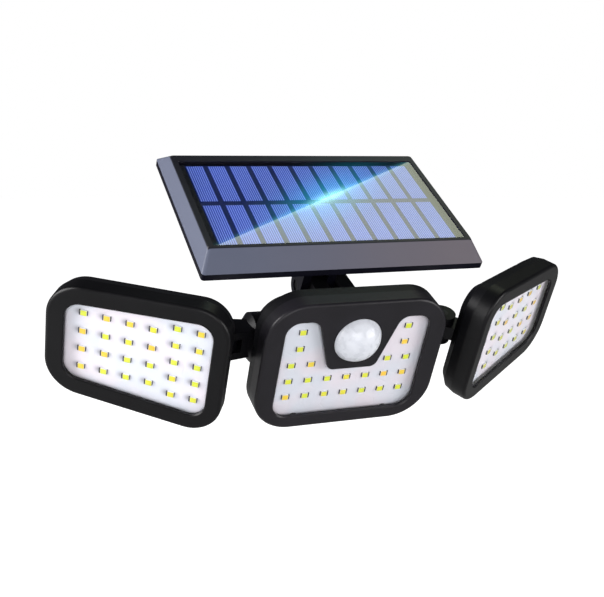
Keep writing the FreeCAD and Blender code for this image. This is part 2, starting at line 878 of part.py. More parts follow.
def side_rear_shell():
    """The shallow tapered back of a side head, with the tongue of its hinge."""
    rim = side_outline()
    drafted = rim.grow(-side_draft)
    tail = rim.grow(-side_back_inset)
    shell = loft(front, [(rim, side_joint_depth), (drafted, side_rim_back), (tail, side_back)])
    hollow = loft(front, [(rim.grow(-wall), side_joint_depth),
                          (drafted.grow(-wall), side_rim_back),
                          (tail.grow(-wall / 2), side_back - wall)])
    half = tongue_half_height
    hinge_at = lambda up: hinge_on_side + Vector(0, 0, up)
    bar = rod(side_hinge_radius, hinge_at(-half), hinge_at(half))
    root = side_back - wall / 2
    floor = hinge_on_side.z - half
    root_inner = side_back_inset - side_inner_length + tongue_root_inset
    root_outer = hinge_on_side.x + side_hinge_radius + tongue_root_reach
    web = Part.makePolygon([
        Vector(root_inner, root, floor),
        Vector(root_outer, root, floor),
        Vector(hinge_on_side.x + side_hinge_radius, hinge_on_side.y, floor),
        Vector(hinge_on_side.x - side_hinge_radius, hinge_on_side.y, floor),
        Vector(root_inner, root, floor)])
    web = Part.Face(web).extrude(Vector(0, 0, 2 * half))
    bore = rod(bolt_radius + running_clearance, hinge_at(-half - overshoot),
               hinge_at(half + overshoot))
    wells = []
    columns = []
    for x, z in side_screw_places():
        floor = Vector(x, side_joint_depth + screw_floor, z)
        wells.append(rod(screw_well_radius, floor, Vector(x, side_back + overshoot, z)))
        wells.append(rod(case_screw_radius + running_clearance,
                         Vector(x, side_joint_depth, z), floor))
        columns.append(rod(screw_well_radius + screw_well_wall, Vector(x, side_joint_depth, z),
                           Vector(x, side_back, z)))
    columns = Part.makeCompound(columns).common(shell)
    body = fuse(cut(shell, hollow), lip(rim, side_joint_depth), columns, bar, web)
    return cut(body, bore, *wells)


def side_board():
    edge = side_outline().grow(-wall - seat_gap)
    board = edge.prism(front, emitter_back, circuit_back)
    notches = [rod(screw_post_radius + seat_gap, Vector(x, emitter_back - overshoot, z),
                   Vector(x, circuit_back + overshoot, z)) for x, z in side_screw_places()]
    return cut(board, *notches)


# Solar panel, drawn in its own frame

def panel_rim():
    return rectangle((-rim_half_width, rim_front), (rim_half_width, rim_back), panel_corner_radius)


def panel_skirt():
    return rectangle((-skirt_half_width, skirt_front), (skirt_half_width, skirt_back),
                     panel_corner_radius)


def glass_outline():
    return rectangle((-glass_half_width, glass_front), (glass_half_width, glass_back),
                     glass_corner_radius)


def panel_housing():
    """The sloping frame: narrow rim, long front and back skirts and a ledge for the board."""
    outer = loft(flat, [(panel_skirt(), -skirt_depth), (panel_rim(), 0)])
    ledge_top = board_top - circuit_thickness
    well = glass_outline().prism(flat, ledge_top, overshoot)
    window = glass_outline().grow(-ledge_width)
    ledge_bottom = ledge_top - wall
    through = window.prism(flat, -skirt_depth - overshoot, ledge_top)
    room = loft(flat, [(panel_skirt().grow(room_relief - panel_wall), -skirt_depth),
                       (glass_outline().grow(room_relief), ledge_bottom)])
    return cut(outer, well, through, room)


def panel_screw_places():
    across = skirt_half_width - panel_screw_side_inset
    return [(x, y) for x in (-across, across)
            for y in (skirt_front + panel_screw_inset, skirt_back - panel_screw_inset)]


def panel_cover():
    """The back cover: a shallow tray with the two ears of the hinge."""
    outer = panel_skirt().prism(flat, -panel_depth, -skirt_depth)
    room = panel_skirt().grow(-panel_wall).prism(flat, -panel_depth + panel_wall, -skirt_depth)
    body = cut(outer, room)
    ears = []
    for low in (-panel_hinge_half_width, panel_inner_ear_x):
        ears.append(panel_ear(low, low + panel_ear_thickness))
    body = fuse(body, *ears)
    holes = []
    for x, y in panel_screw_places():
        holes.append(rod(case_screw_radius, Vector(x, y, -panel_depth),
                         Vector(x, y, -panel_depth + panel_wall)))
        holes.append(rod(case_screw_head_radius + seat_gap, Vector(x, y, -panel_depth),
                         Vector(x, y, -panel_depth + case_screw_head_height / 2)))
    outer_face = -panel_hinge_half_width
    hinge_at = lambda x: Vector(x, hinge_on_panel.y, hinge_on_panel.z)
    nut_seat = hexagon_bar(nut_across_flats, hinge_at(outer_face), hinge_at(outer_face + nut_height))
    return cut(body, nut_seat, *holes)


def panel_ear(low, high):
    """An ear from the cover to the hinge bolt: a round end on a long gusset."""
    hinge_y = hinge_on_panel.y
    hinge_z = hinge_on_panel.z
    top = -panel_depth + panel_wall / 2
    end = rod(panel_hinge_radius, Vector(low, hinge_y, hinge_z), Vector(high, hinge_y, hinge_z))
    web = Part.makePolygon([
        Vector(low, hinge_y - panel_hinge_radius, hinge_z),
        Vector(low, hinge_y + panel_hinge_radius, hinge_z),
        Vector(low, ear_base_back, top),
        Vector(low, ear_base_front, top),
        Vector(low, hinge_y - panel_hinge_radius, hinge_z)])
    web = Part.Face(web).extrude(Vector(high - low, 0, 0))
    bore = rod(bolt_radius, Vector(low, hinge_y, hinge_z), Vector(high, hinge_y, hinge_z))
    return cut(fuse(end, web), bore)


def solar_board():
    outline = glass_outline().grow(-seat_gap)
    return outline.prism(flat, board_top - circuit_thickness, board_top)


def solar_tiles():
    """Two rows of solar tiles between the glass's borders, one solid each."""
    span_across = 2 * (glass_half_width - tile_side_border)
    span_along = glass_back - tile_back_border - glass_front - tile_front_border
    width = (span_across - (tile_columns - 1) * tile_gap) / tile_columns
    length = (span_along - tile_row_gap) / 2
    tiles = []
    for column in range(tile_columns):
        low = column * (width + tile_gap) - span_across / 2
        for row in range(2):
            start = glass_front + tile_front_border + row * (length + tile_row_gap)
            tiles.append(Part.makeBox(width, length, tile_thickness,
                                      Vector(low, start, board_top)))
    return Part.makeCompound(tiles)


def solar_glass():
    outline = glass_outline().grow(-glass_gap)
    return outline.prism(flat, tile_top, -glass_recess)


def panel_screws():
    """Screws up through the cover, one solid each."""
    screws = []
    seat = -panel_depth + case_screw_head_height / 2
    for x, y in panel_screw_places():
        head = rod(case_screw_head_radius, Vector(x, y, seat - case_screw_head_height),
                   Vector(x, y, seat))
        shank = rod(case_screw_radius, Vector(x, y, seat), Vector(x, y, -panel_depth + panel_wall))
        recess = rod(drive_recess_radius, Vector(x, y, seat - case_screw_head_height),
                     Vector(x, y, seat - case_screw_head_height + drive_recess_depth))
        screws.append(cut(fuse(head, shank), recess))
    return Part.makeCompound(screws)


def panel_hinge_bolt():
    start = Vector(panel_hinge_half_width, hinge_on_panel.y, hinge_on_panel.z)
    return bolt(start, start - Vector(2 * panel_hinge_half_width - bolt_end_inset, 0, 0))


def panel_hinge_nut():
    start = Vector(bolt_end_inset - panel_hinge_half_width, hinge_on_panel.y, hinge_on_panel.z)
    return nut(start, Vector(nut_height - panel_hinge_half_width, start.y, start.z))


# Wall bracket, drawn in the row frame

def wall_bracket():
    """A screw plate with a cranked arm that ends in a fork."""
    plate = rectangle((-plate_half_width, -plate_half_height), (plate_half_width, plate_half_height),
                      plate_corner_radius).prism(front, -plate_thickness, 0)
    plate = plate.makeFillet(plate_edge_radius, edges_at(plate, "Y", -plate_thickness))
    outer = fork_outer
    pivot_y = -bracket_reach
    pivot_z = bracket_rise
    end = rod(bracket_lug_radius, Vector(-outer, pivot_y, pivot_z), Vector(outer, pivot_y, pivot_z))
    toward = Vector(0, pivot_y + plate_thickness, pivot_z).normalize()
    across = Vector(0, -toward.z, toward.y) * bracket_lug_radius
    pivot = Vector(-outer, pivot_y, pivot_z)
    profile = Part.makePolygon([
        pivot + across, pivot - across,
        Vector(-outer, -plate_thickness / 2, arm_root_half_height),
        Vector(-outer, -plate_thickness / 2, -arm_root_half_height),
        pivot + across])
    arm = Part.Face(profile).extrude(Vector(2 * outer, 0, 0))
    body = fuse(plate, end, arm)

    half_slot = bracket_lug_half_width + moving_gap
    slot_back = -plate_thickness - arm_web_length
    slot = Part.makeBox(2 * half_slot, bracket_reach, 4 * plate_half_height,
                        Vector(-half_slot, slot_back - bracket_reach, -2 * plate_half_height))
    pivot_at = lambda x: Vector(x, pivot_y, pivot_z)
    bore = rod(bolt_radius, pivot_at(-outer), pivot_at(outer))
    head_seat = rod(bolt_head_radius, pivot_at(outer - bolt_head_height), pivot_at(outer))
    nut_seat = hexagon_bar(nut_across_flats, pivot_at(-outer), pivot_at(-outer + nut_height))
    holes = []
    hole_z = plate_half_height - wall_hole_edge_distance
    for z in (-hole_z, hole_z):
        holes.append(rod(wall_hole_radius, Vector(0, -plate_thickness - overshoot, z),
                         Vector(0, overshoot, z)))
        holes.append(Part.makeCone(wall_hole_radius, wall_hole_head_radius, wall_hole_head_depth,
                                   Vector(0, -plate_thickness + wall_hole_head_depth, z),
                                   Vector(0, -1, 0)))
    return cut(body, slot, bore, head_seat, nut_seat, *holes)


def bracket_bolt():
    return bolt(Vector(fork_outer, -bracket_reach, bracket_rise),
                Vector(-fork_outer, -bracket_reach, bracket_rise))


def bracket_nut():
    start = Vector(-fork_outer, -bracket_reach, bracket_rise)
    return nut(start, start + Vector(nut_height, 0, 0))


# Write one file per node

def write_bracket():
    save("wall_bracket", wall_bracket())
    save("bracket_bolt", bracket_bolt())
    save("bracket_nut", bracket_nut())


def write_lamp():
    pieces = {
        "rear_housing": rear_housing(),
        "center_bezel": center_bezel(),
        "center_seal": seal_ring(center_outline(), center_joint_depth),
        "center_window": window_pane(center_window_outline()),
        "center_board": center_board(),
        "center_emitters": emitters(center_emitter_places()),
        "sensor_dome": sensor_dome(),
        "motion_sensor": motion_sensor(),
        "battery_cell": battery_cell(),
        "battery_holder": battery_holder(),
        "control_board": control_board(),
        "power_switch": power_switch(),
        "power_button": power_button(),
        "center_screws": case_screws(center_screw_places(), center_rim_back),
    }
    for name, piece in pieces.items():
        save(name, placed(piece, lamp_frame))


def write_panel():
    pieces = {
        "panel_frame": panel_housing(),
        "panel_cover": panel_cover(),
        "solar_board": solar_board(),
        "solar_tiles": solar_tiles(),
        "solar_glass": solar_glass(),
        "panel_screws": panel_screws(),
        "panel_hinge_bolt": panel_hinge_bolt(),
        "panel_hinge_nut": panel_hinge_nut(),
    }
    for name, piece in pieces.items():
        save(name, placed(piece, lamp_frame.multiply(panel_frame)))


def write_sides():
    in_lamp_frame = {
        "knuckle": knuckle(),
        "swivel_retainer": swivel_retainer(),
        "hinge_bolt": side_hinge_bolt(),
        "hinge_nut": side_hinge_nut(),
    }
    in_side_frame = {
        "rear_shell": side_rear_shell(),
        "bezel": bezel(side_outline(), side_window_outline(), side_screw_places(),
                       side_joint_depth),
        "seal": seal_ring(side_outline(), side_joint_depth),
        "window": window_pane(side_window_outline()),
        "board": side_board(),
        "emitters": emitters(side_emitter_places()),
        "screws": case_screws(side_screw_places(), side_joint_depth + screw_floor),
    }
    for name, piece in in_side_frame.items():
        in_lamp_frame[name] = placed(piece, side_frame)
    for name, piece in in_lamp_frame.items():
        save("right_" + name, placed(piece, lamp_frame))
        save("left_" + name, placed(mirrored(piece), lamp_frame))


os.makedirs("parts", exist_ok=True)
write_bracket()
write_lamp()
write_panel()
write_sides()
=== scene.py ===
import math

import bpy
import numpy as np
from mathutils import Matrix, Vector


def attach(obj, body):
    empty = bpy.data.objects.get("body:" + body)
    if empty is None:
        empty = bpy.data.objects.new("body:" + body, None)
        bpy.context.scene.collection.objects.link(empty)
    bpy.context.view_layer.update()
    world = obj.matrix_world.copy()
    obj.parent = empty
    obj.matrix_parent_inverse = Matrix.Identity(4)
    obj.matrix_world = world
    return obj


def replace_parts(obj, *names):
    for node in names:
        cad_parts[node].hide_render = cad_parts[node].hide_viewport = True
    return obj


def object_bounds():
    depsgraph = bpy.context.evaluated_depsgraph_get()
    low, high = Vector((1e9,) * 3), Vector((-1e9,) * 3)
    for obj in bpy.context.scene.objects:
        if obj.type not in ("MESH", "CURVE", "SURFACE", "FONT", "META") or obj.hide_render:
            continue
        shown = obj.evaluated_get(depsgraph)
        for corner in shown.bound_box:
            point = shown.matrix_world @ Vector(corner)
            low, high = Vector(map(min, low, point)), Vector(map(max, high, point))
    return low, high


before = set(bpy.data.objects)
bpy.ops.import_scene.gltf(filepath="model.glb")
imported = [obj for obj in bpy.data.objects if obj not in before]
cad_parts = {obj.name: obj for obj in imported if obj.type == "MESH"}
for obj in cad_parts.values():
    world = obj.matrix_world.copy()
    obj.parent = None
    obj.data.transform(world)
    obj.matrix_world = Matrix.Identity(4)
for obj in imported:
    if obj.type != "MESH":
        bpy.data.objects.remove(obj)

cad_box = [list(corner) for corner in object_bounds()]


# Wall bracket: a cranked arm with a fork at its end, injection moulded in black ABS. It is screwed
# to the wall, and one steel bolt and nut hold the lamp in its fork.

class Shade:
    """A socket of a material. Python's operators on it add Math nodes, and node() any other."""

    def __init__(self, tree, socket=None):
        self.tree = tree
        self.socket = socket

    def node(self, kind, settings, sockets, output=0):
        """A node with its settings made first, and then the values or links of its sockets."""
        made = self.tree.nodes.new(kind)
        for name, value in settings.items():
            setattr(made, name, value)
        for key, value in sockets.items():
            if isinstance(value, Shade):
                self.tree.links.new(value.socket, made.inputs[key])
            else:
                made.inputs[key].default_value = value
        return Shade(self.tree, made.outputs[output])

    def math(self, operation, *values):
        """A Math node on any values, shades or numbers, in their order."""
        return self.node("ShaderNodeMath", {"operation": operation}, dict(enumerate(values)))

    def __add__(self, other):
        return self.math("ADD", self, other)

    def __sub__(self, other):
        return self.math("SUBTRACT", self, other)

    def __rsub__(self, other):
        return self.math("SUBTRACT", other, self)

    def __mul__(self, other):
        return self.math("MULTIPLY", self, other)

    def __truediv__(self, other):
        return self.math("DIVIDE", self, other)

    def __pow__(self, power):
        return self.math("POWER", self, power)

    def __abs__(self):
        return self.math("ABSOLUTE", self)

    __radd__ = __add__
    __rmul__ = __mul__

    def over(self, other):
        """1 where this shade is greater than the other, and 0 elsewhere."""
        return self.math("GREATER_THAN", self, other)

    def greater(self, other):
        """The greater one of the two."""
        return self.math("MAXIMUM", self, other)

    def fraction(self):
        """What is left of this shade after its whole part."""
        return self.math("FRACT", self)

    def fading(self):
        """e to the minus of this shade: 1 at 0, and soon close to 0."""
        return self.math("EXPONENT", self * -1.0)

    def between(self, low, high):
        """A smooth step from 0 at low to 1 at high."""
        return self.node("ShaderNodeMapRange", {"interpolation_type": "SMOOTHSTEP"},
                         {"Value": self, "From Min": low, "From Max": high})

    def mix(self, first, second):
        """The first colour where this shade is 0 and the second where it is 1."""
        return self.node("ShaderNodeMix", {"data_type": "RGBA"}, {0: self, 6: first, 7: second}, 2)

    def noise(self, cell, detail=2.0):
        """Noise on these coordinates, with cells of a size in metres."""
        return self.node("ShaderNodeTexNoise", {},
                         {"Vector": self, "Scale": 1 / cell, "Detail": detail})

    def patches(self, per_metre, **settings):
        """The distance that a Voronoi pattern gives on these coordinates."""
        return self.node("ShaderNodeTexVoronoi", settings, {"Vector": self, "Scale": per_metre})

    def vector(self, operation, other, output=0):
        """A Vector Math node on these coordinates and three numbers."""
        return self.node("ShaderNodeVectorMath", {"operation": operation},
                         {0: self, 1: tuple(other)}, output)

    def turned(self, about_x=0.0, about_z=0.0):
        """These coordinates turned by an angle about X or Z."""
        return self.node("ShaderNodeMapping", {},
                         {"Vector": self, "Rotation": (about_x, 0.0, about_z)})

    def axis(self, index):
        """One of these coordinates: 0 is X, 1 is Y and 2 is Z."""
        return self.node("ShaderNodeSeparateXYZ", {}, {0: self}, index)

    def bump(self, height):
        """A bumped normal, from a height in metres."""
        return self.node("ShaderNodeBump", {}, {"Height": self, "Distance": height})


def new_finish(name, **constants):
    """A material whose constants sit on its shader's sockets, and its object coordinates."""
    material = bpy.data.materials.new(name)
    material.use_nodes = True
    shader = material.node_tree.nodes["Principled BSDF"]
    for key, value in constants.items():
        shader.inputs[key.replace("_", " ")].default_value = value
    place = Shade(material.node_tree).node("ShaderNodeTexCoord", {}, {}, "Object")
    return material, place


def feed(material, sockets):
    """Links shades to the sockets of the material's shader."""
    shader = material.node_tree.nodes["Principled BSDF"]
    for key, shade in sockets.items():
        material.node_tree.links.new(shade.socket, shader.inputs[key])


def dress(material, *nodes):
    """Gives the finish to CAD nodes."""
    for node in nodes:
        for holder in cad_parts[node].material_slots:
            holder.material = material


def tinted(colour, factor):
    """The colour times a factor, opaque."""
    return tuple(factor * part for part in colour) + (1.0,)


def moulded_plastic(name, colour, roughness, gloss, grain=0.00028, depth=0.00003):
    """Plastic from a spark-eroded mould: a fine grain, over slow changes where it flowed."""
    material, place = new_finish(name, Specular_IOR_Level=gloss)
    flow = place.noise(0.022, 3.0)
    fine = place.noise(grain)
    feed(material, {
        "Base Color": flow.between(0.3, 0.7).mix(tinted(colour, 0.85), tinted(colour, 1.18)),
        "Roughness": roughness + 0.14 * (flow - 0.5) + 0.10 * (fine - 0.5),
        "Normal": fine.bump(depth),
    })
    return material


def zinc_plate(name, colour):
    """Plated steel: a soft grey with blotches of passivation and fine turning marks."""
    material, place = new_finish(name, Metallic=1.0)
    blotch = place.noise(0.0016, 3.0)
    marks = place.noise(0.00012, 1.0)
    feed(material, {
        "Base Color": blotch.between(0.35, 0.65).mix(tinted(colour, 0.75), tinted(colour, 1.1)),
        "Roughness": 0.26 + 0.2 * blotch,
        "Normal": marks.bump(0.00002),
    })
    return material


black_shell = moulded_plastic("black ABS, grained", (0.0040, 0.0040, 0.0052), 0.40, 0.2)
zinc = zinc_plate("zinc-plated steel", (0.58, 0.58, 0.56))
black_zinc = zinc_plate("black zinc plate", (0.045, 0.045, 0.05))
dress(black_shell, "wall_bracket")
dress(black_zinc, "bracket_bolt", "bracket_nut")


# Rear housing of the centre head: a deep black ABS moulding that holds the battery and carries the
# swivel bosses and the hinge lugs. Four self-tapping screws close it on a silicone cord seal.

def mottled(name, noise_size, detail, colours, roughness, rougher, bump_height, **constants):
    """A finish where one noise changes the colour, the roughness and the height together."""
    material, place = new_finish(name, **constants)
    mottle = place.noise(noise_size, detail)
    feed(material, {
        "Base Color": mottle.mix(*colours),
        "Roughness": roughness + rougher * mottle,
        "Normal": mottle.bump(bump_height),
    })
    return material


silicone = mottled("black silicone", 0.0011, 3.0,
                   ((0.012, 0.012, 0.013, 1), (0.024, 0.024, 0.025, 1)),
                   0.62, 0.16, 0.00004, Specular_IOR_Level=0.3)
dress(black_shell, "rear_housing")
dress(zinc, "center_screws")
dress(silicone, "center_seal", "left_seal", "right_seal")


# Battery: a round cell in blue shrink sleeve, which lies in an open black cradle against the back
# wall. The sleeve is slightly wrinkled and glossy.

wrinkle_size = 1 / 420
along_the_cell = (0.25, 1.0, 1.0)
sleeve_blues = ((0.02, 0.10, 0.30, 1), (0.035, 0.16, 0.42, 1))

sleeve, place = new_finish("blue shrink sleeve", Coat_Weight=0.5, Coat_Roughness=0.12)
stretched = place.node("ShaderNodeMapping", {}, {"Vector": place, "Scale": along_the_cell})
wrinkle = stretched.noise(wrinkle_size, 3.0)
feed(sleeve, {
    "Base Color": wrinkle.mix(*sleeve_blues),
    "Roughness": 0.24 + 0.18 * wrinkle,
    "Normal": wrinkle.bump(0.0001),
})
dress(sleeve, "battery_cell")

cradle = moulded_plastic("black cradle", (0.014, 0.014, 0.015), 0.5, 0.4)
dress(cradle, "battery_holder")


# Control board: green solder mask over copper tracks, on posts of the housing. It carries the push
# switch, and a silicone button in the back wall presses it.

mask_green = (0.012, 0.085, 0.03, 1)
track_green = (0.04, 0.20, 0.08, 1)

solder_mask, place = new_finish("green solder mask", Coat_Weight=0.4, Coat_Roughness=0.2)
flat = place.patches(320.0, feature="DISTANCE_TO_EDGE", distance="MANHATTAN").between(0.05, 0.09)
mask_tone = place.noise(0.006)
feed(solder_mask, {
    "Base Color": flat.mix(track_green, mask_green),
    "Roughness": 0.32 + 0.16 * mask_tone,
    "Normal": (1 - flat).bump(0.00004),
})
dress(solder_mask, "control_board")

switch_case = moulded_plastic("black switch case", (0.012, 0.012, 0.013), 0.4, 0.5)
dress(switch_case, "power_switch")

button_skin = moulded_plastic("black silicone button", (0.02, 0.02, 0.022), 0.62, 0.35,
                              grain=0.0005, depth=0.00005)
dress(button_skin, "power_button")


# Lamp boards: one in each head, white solder mask with a faint lilac cast that reflects the light
# of its emitters forward. Tracks under the mask stand up by a hair.

lamp_origin = np.array([0.0, -0.088, 0.022])
lamp_tilt = math.radians(25.35)
side_origin = np.array([0.0981, 0.016, 0.0016])
side_yaw = math.radians(30.75)

column_pitch = 0.01081
tall_pitch, short_pitch = 0.00911, 0.00973
side_columns = [(5, tall_pitch)] * 2 + [(4, short_pitch)] * 4

# Painted shade beside each emitter on the side boards: its offset, size, strength and colour.
shade_aside, shade_above = 0.0021, 0.0002
shade_width, shade_height = 0.0021, 0.0017
shade_strength = 0.8
shade_colour = (0.24, 0.24, 0.29, 1)


def side_shade(place, hand):
    """The painted soft shade on the outer side of each emitter: e to the minus square of the distance.

    The fractions of column and row are the places round one emitter. The two inner columns hold
    five emitters and the others four, so their rows lie half a pitch apart."""
    lamp = place.vector("SUBTRACT", lamp_origin).turned(about_x=-lamp_tilt)
    outward = lamp.vector("MULTIPLY", (hand, 1.0, 1.0))
    head = outward.vector("SUBTRACT", side_origin).turned(about_z=-side_yaw)
    across, up = head.axis(0), head.axis(2)
    column = across / column_pitch + len(side_columns) / 2
    four = column.over(2.0)
    row_pitch = tall_pitch + (short_pitch - tall_pitch) * four
    row = up / row_pitch + 0.5 * (1 - four)
    aside = (column.fraction() - 0.5) * column_pitch - shade_aside
    above = (row.fraction() - 0.5) * row_pitch - shade_above
    distance = (aside * aside) / shade_width ** 2 + (above * above) / shade_height ** 2
    rows_end = row_pitch * (2.5 - 0.5 * four)
    return distance.fading() * rows_end.over(abs(up))


def white_mask(name, painted_shade_factor, hand):
    """White solder mask, darker by a factor for painted shade; the emitters' painted shade where a hand
    is given.
    """
    material, place = new_finish(name, Specular_IOR_Level=0.4)
    cast = place.noise(0.017, 1.0)
    mottle = place.noise(0.0012, 3.0)
    pour = place.patches(105.0, feature="DISTANCE_TO_EDGE").between(0.02, 0.035)
    white = cast.between(0.35, 0.65).mix(tinted((0.80, 0.84, 0.93), painted_shade_factor),
                                         tinted((0.90, 0.85, 0.93), painted_shade_factor))
    # The side boards get a painted shade beside each emitter.
    if hand:
        white = (shade_strength * side_shade(place, hand)).mix(white, shade_colour)
    feed(material, {
        "Base Color": white,
        "Roughness": 0.34 + 0.12 * mottle,
        "Normal": (pour + 0.3 * mottle).bump(0.00003),
    })
    return material


# All three boards are one white mask; the factors paint the centre board darker and the left one a
# little darker, as painted shade.
dress(white_mask("white solder mask", 0.82, 0.0), "center_board")
dress(white_mask("white solder mask, left", 0.94, -1.0), "left_board")
dress(white_mask("white solder mask, right", 1.0, 1.0), "right_board")


# Emitters: surface-mounted packages of a white body with a well of yellow phosphor. Each end stands
# in a solder fillet, and they are soldered to the boards. The fillets are real solder, coloured dark
# and the outer one made wider as painted shade at the package ends.

def turned_points(points, angle, first, second):
    """Points turned by an angle, from their first axis towards their second one."""
    result = points.copy()
    ahead, beside = points[..., first], points[..., second]
    result[..., first] = ahead * math.cos(angle) - beside * math.sin(angle)
    result[..., second] = ahead * math.sin(angle) + beside * math.cos(angle)
    return result


def lamp_to_world(points):
    """The lamp's coordinates in the world's: turned about X by the tilt and then moved."""
    return turned_points(points, lamp_tilt, 1, 2) + lamp_origin


def side_to_world(points, hand):
    """A side head's coordinates in the world's: turned about Z by the yaw, moved, mirrored by the
    hand, and then as the lamp's."""
    return lamp_to_world((turned_points(points, side_yaw, 0, 1) + side_origin) * (hand, 1.0, 1.0))


def ring_solid(rings):
    """A closed solid over rounded rectangles, as points and faces.

    Each ring has a middle, half sizes, a corner radius and a depth. A point of a ring is the middle
    of its corner plus the radius at one of three even angles of a quarter turn."""
    corner_steps = 3
    number = np.arange(4 * corner_steps)
    quarter = (number // corner_steps) * (math.pi / 2)
    angle = quarter + (number % corner_steps) * (math.pi / 2 / (corner_steps - 1))
    right = np.where(np.cos(quarter + math.pi / 4) > 0, 1.0, -1.0)
    upper = np.where(np.sin(quarter + math.pi / 4) > 0, 1.0, -1.0)
    layers = []
    for middle, half_width, half_height, radius, depth in rings:
        across = middle + right * (half_width - radius) + radius * np.cos(angle)
        up = upper * (half_height - radius) + radius * np.sin(angle)
        layers.append(np.column_stack([across, np.full(len(number), depth), up]))
    points = np.concatenate(layers)
    count = len(number)
    ring, spot = np.meshgrid(np.arange(len(rings) - 1), np.arange(count), indexing="ij")
    here = (ring * count + spot).ravel()
    after = (ring * count + (spot + 1) % count).ravel()
    walls = np.column_stack([here, after, after + count, here + count]).tolist()
    first_cap = list(range(count))[::-1]
    last_cap = list(range(len(points) - count, len(points)))
    return points, walls + [first_cap, last_cap]


def closed_piece(name, points, faces, body, material, tint=None):
    """A mesh with outward faces: they are turned round where the volume comes out negative. The
    volume is the sum, over triangles, of one corner times the cross product of the other two."""
    fans = [(face[0], face[step], face[step + 1])
            for face in faces for step in range(1, len(face) - 1)]
    corners = points[np.array(fans)]
    volume = np.einsum("ij,ij->", corners[:, 0], np.cross(corners[:, 1], corners[:, 2]))
    if volume < 0:
        faces = [face[::-1] for face in faces]
    mesh = bpy.data.meshes.new(name)
    mesh.from_pydata(points.tolist(), [], faces)
    if tint is not None:
        mesh.attributes.new("tint", "FLOAT", "POINT").data.foreach_set("value", tint)
    mesh.materials.append(material)
    piece = bpy.data.objects.new(name, mesh)
    bpy.context.scene.collection.objects.link(piece)
    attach(piece, body)
    return piece


def copied_faces(faces, point_count, copies):
    """The faces of a solid for all of its copies, whose points follow each other."""
    return [[corner + point_count * copy for corner in face]
            for copy in range(copies) for face in faces]


def repeated(points, faces, places):
    """Copies of a small solid at places in one head's plane, and each copy's own tint."""
    middles = np.column_stack([places[:, 0], np.zeros(len(places)), places[:, 1]])
    all_points = (points[None] + middles[:, None]).reshape(-1, 3)
    all_faces = copied_faces(faces, len(points), len(places))
    tint = np.repeat(np.random.default_rng(len(places)).random(len(places)), len(points))
    return all_points, all_faces, tint


package_white = mottled("white package resin", 0.0006, 2.0,
                        ((0.70, 0.71, 0.70, 1), (0.84, 0.85, 0.84, 1)),
                        0.4, 0.15, 0.00001, Specular_IOR_Level=0.5)
# Solder coloured darker than bright tin, partly as painted shade at the package ends.
solder = mottled("dull tin solder", 0.0004, 3.0,
                 ((0.028, 0.028, 0.034, 1), (0.10, 0.10, 0.11, 1)),
                 0.42, 0.2, 0.00003, Metallic=1.0)

lemon, amber = (0.72, 0.80, 0.02, 1), (0.98, 0.60, 0.03, 1)
phosphor, place = new_finish("yellow phosphor gel", Coat_Weight=0.6, Coat_Roughness=0.1)
batch = place.node("ShaderNodeAttribute", {"attribute_name": "tint"}, {}, "Fac")
cloud = place.noise(0.0009)
feed(phosphor, {
    "Base Color": (batch ** 1.8 + 0.7 * (cloud - 0.5)).between(0.0, 1.1).mix(lemon, amber),
    "Roughness": 0.3 + 0.2 * cloud,
})

# Each ring in millimetres: its middle, half width, half height, corner radius and depth.
package_rings = np.array([(-0.05, 1.55, 1.48, 0.12, 0.80), (-0.05, 1.55, 1.48, 0.12, 0.10),
                          (-0.05, 1.49, 1.42, 0.12, 0.00), (-0.05, 1.44, 1.37, 0.22, 0.00),
                          (-0.05, 1.34, 1.27, 0.26, 0.28)]) / 1000
gel_rings = np.array([(-0.05, 1.37, 1.30, 0.26, 0.26), (-0.05, 1.41, 1.34, 0.24, 0.02),
                      (-0.05, 0.90, 0.85, 0.24, -0.05)]) / 1000
# The outer fillet is made wider than the inner one as painted shade at the package's outer end.
wide_fillet_and_shade_rings = np.array([(1.84, 0.44, 1.34, 0.10, 0.80), (1.80, 0.38, 1.30, 0.10, 0.25),
                              (1.62, 0.18, 1.24, 0.10, 0.02)]) / 1000
thin_fillet_rings = np.array([(-1.72, 0.20, 1.22, 0.08, 0.80), (-1.70, 0.14, 1.18, 0.08, 0.30),
                              (-1.66, 0.07, 1.10, 0.06, 0.10)]) / 1000

center_across, center_up = 0.010, 0.00927
lobe_across = 0.0271
center_places = np.array(
    [(step * center_across, row * center_up) for row in (-1, -2) for step in range(-3, 4)]
    + [(step * center_across, 0) for step in (-3, -2, 2, 3)]
    + [(hand * lobe_across, row * center_up) for row in (1, 2) for hand in (-1, 1)])

side_places = np.array([
    ((column - (len(side_columns) - 1) / 2) * column_pitch, (row - (count - 1) / 2) * pitch)
    for column, (count, pitch) in enumerate(side_columns)
    for row in range(count)])

heads = [("center", "lamp", center_places, lamp_to_world),
         ("left", "left_head", side_places, lambda points: side_to_world(points, -1.0)),
         ("right", "right_head", side_places, lambda points: side_to_world(points, 1.0))]
for head, body, places, to_world in heads:
    for part, rings, material, slot in (
            ("packages", package_rings, package_white, "emitter"),
            ("phosphor", gel_rings, phosphor, "emitter"),
            ("outer_solder_and_shade", wide_fillet_and_shade_rings, solder, "emitter"),
            ("inner_solder", thin_fillet_rings, solder, "emitter")):
        points, faces, tint = repeated(*ring_solid(rings), places)
        piece = closed_piece(head + "_" + part, to_world(points), faces, body, material, tint)
        if part == "packages":
            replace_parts(piece, head + "_emitters")


# Motion sensor: a nickel-plated can on the centre board, under a milky polyethylene dome. The dome
# is moulded with rows of shallow lens facets, and its flange is held behind the front frame.

can_plate = zinc_plate("nickel-plated can", (0.66, 0.64, 0.60))
dress(can_plate, "motion_sensor")

milk_tones = ((0.64, 0.67, 0.74, 1), (0.72, 0.75, 0.82, 1))
facets_per_metre = 330.0
facet_depth = 0.00012

